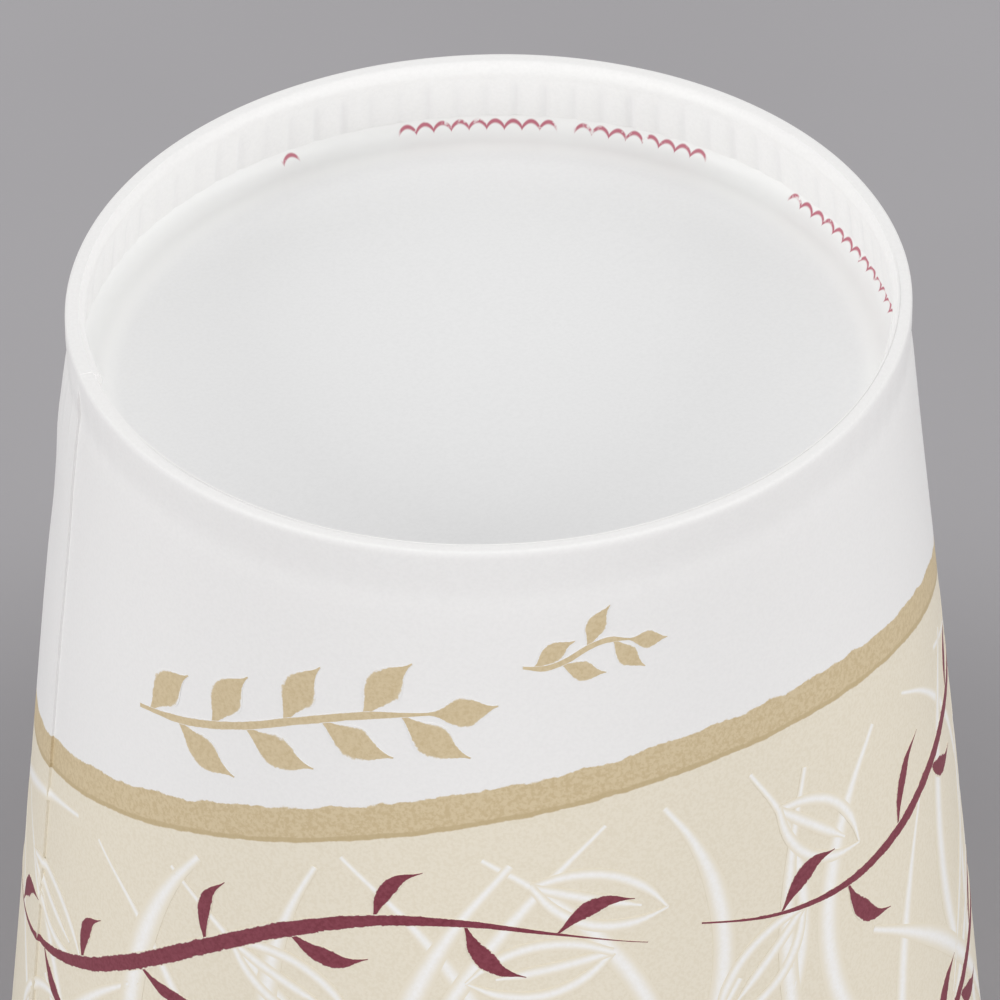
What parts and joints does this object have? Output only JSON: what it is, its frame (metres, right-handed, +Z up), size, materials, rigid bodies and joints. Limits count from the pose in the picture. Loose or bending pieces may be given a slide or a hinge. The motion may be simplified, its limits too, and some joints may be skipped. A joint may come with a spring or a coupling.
{
  "type": "waxed paper cup",
  "caption": "Small waxed paper cup with a tapered lapped wall, a rolled rim, a folded and crimped base edge and a recessed bottom disc, standing upside down.",
  "frame": {"origin": "centre of the rolled rim, on the surface that it stands on", "axes": "+Z up along the cup's axis, from the mouth to the base: the cup stands upside down on its rim, as in the picture. The side seam's outer edge lies at about -163 degrees about +Z from +X, and -Y faces the picture's viewer"},
  "size_m": [0.0568, 0.0568, 0.057],
  "materials": {
    "sidewall_paper": "satin",
    "bottom_paper": "satin"
  },
  "bodies": {
    "root": {"sidewall": "sidewall_paper", "bottom_disc": "bottom_paper"}
  },
  "joints": []
}
